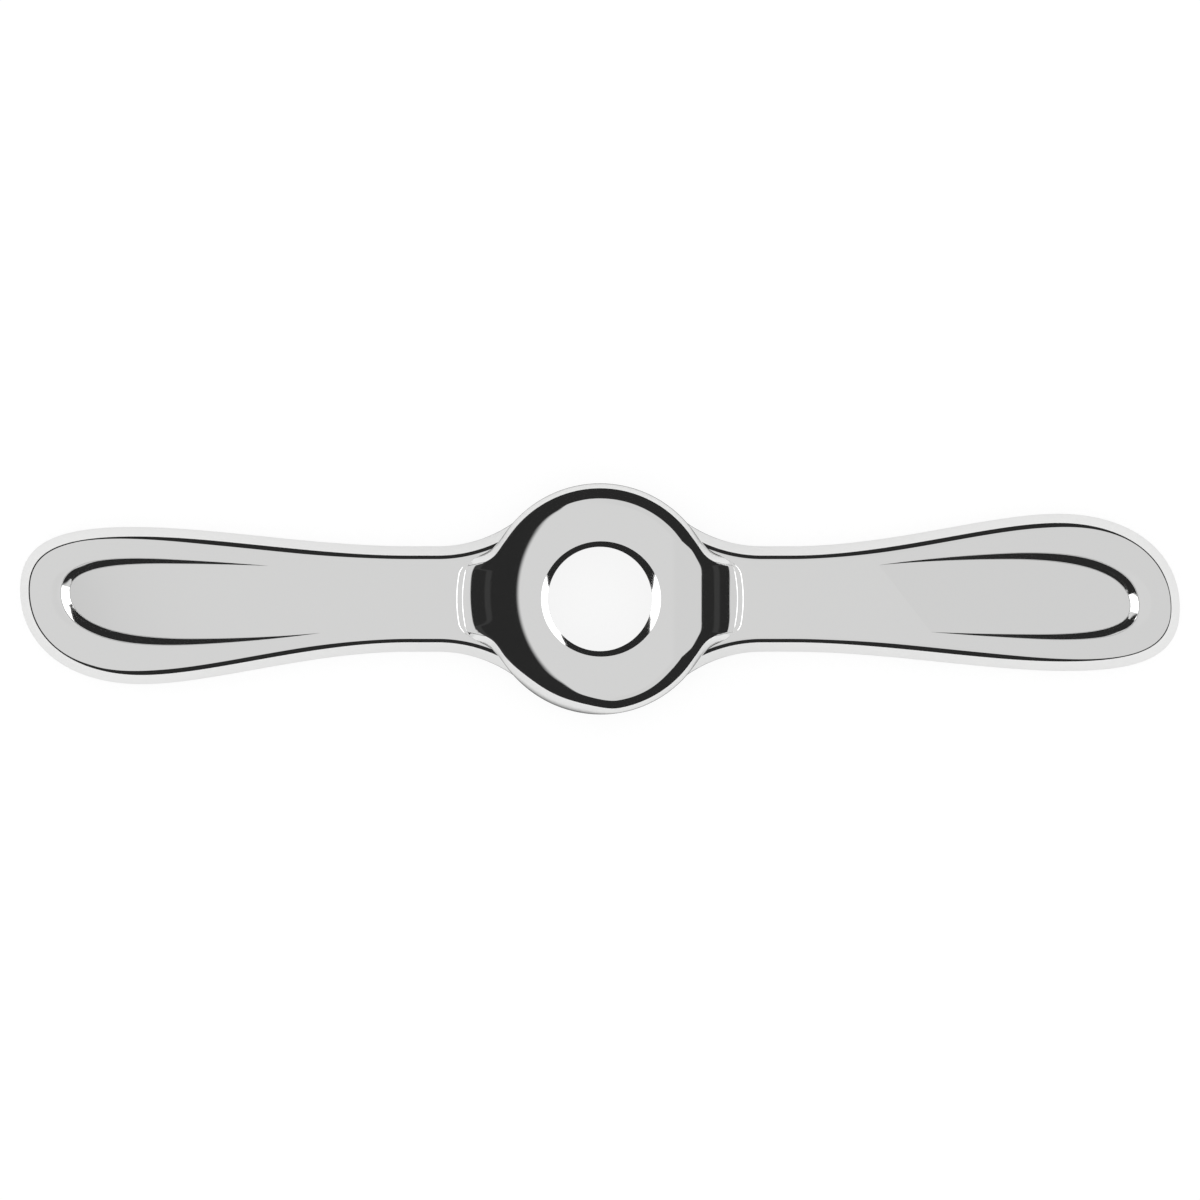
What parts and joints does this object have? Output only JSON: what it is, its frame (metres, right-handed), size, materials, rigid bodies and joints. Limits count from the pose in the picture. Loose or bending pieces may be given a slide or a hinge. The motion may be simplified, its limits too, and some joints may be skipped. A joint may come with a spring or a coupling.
{
  "type": "die stock handle",
  "caption": "Chrome die stock with opposed paddle arms, thumb scoops and a round hub that holds a hexagon die behind its bore.",
  "frame": {"origin": "on the bore's axis, in the plane of the hub's die side, on which it rests", "axes": "+X along the arms, to the right in the picture; +Y up in the picture; +Z along the bore, out of the plain face, towards the camera"},
  "size_m": [0.2286, 0.0454, 0.015],
  "materials": {
    "chrome_plate": "bright polished chrome plate",
    "black_steel": "black oxide, slightly oiled"
  },
  "bodies": {
    "handle": {"handle": "chrome_plate"},
    "set_screw": {"set_screw": "black_steel"}
  },
  "joints": [
    {"name": "set_screw_travel", "type": "slide", "parent": "handle", "child": "set_screw", "axis": [0, 1, 0], "range_m": [-0.0015, 0.0025]}
  ]
}
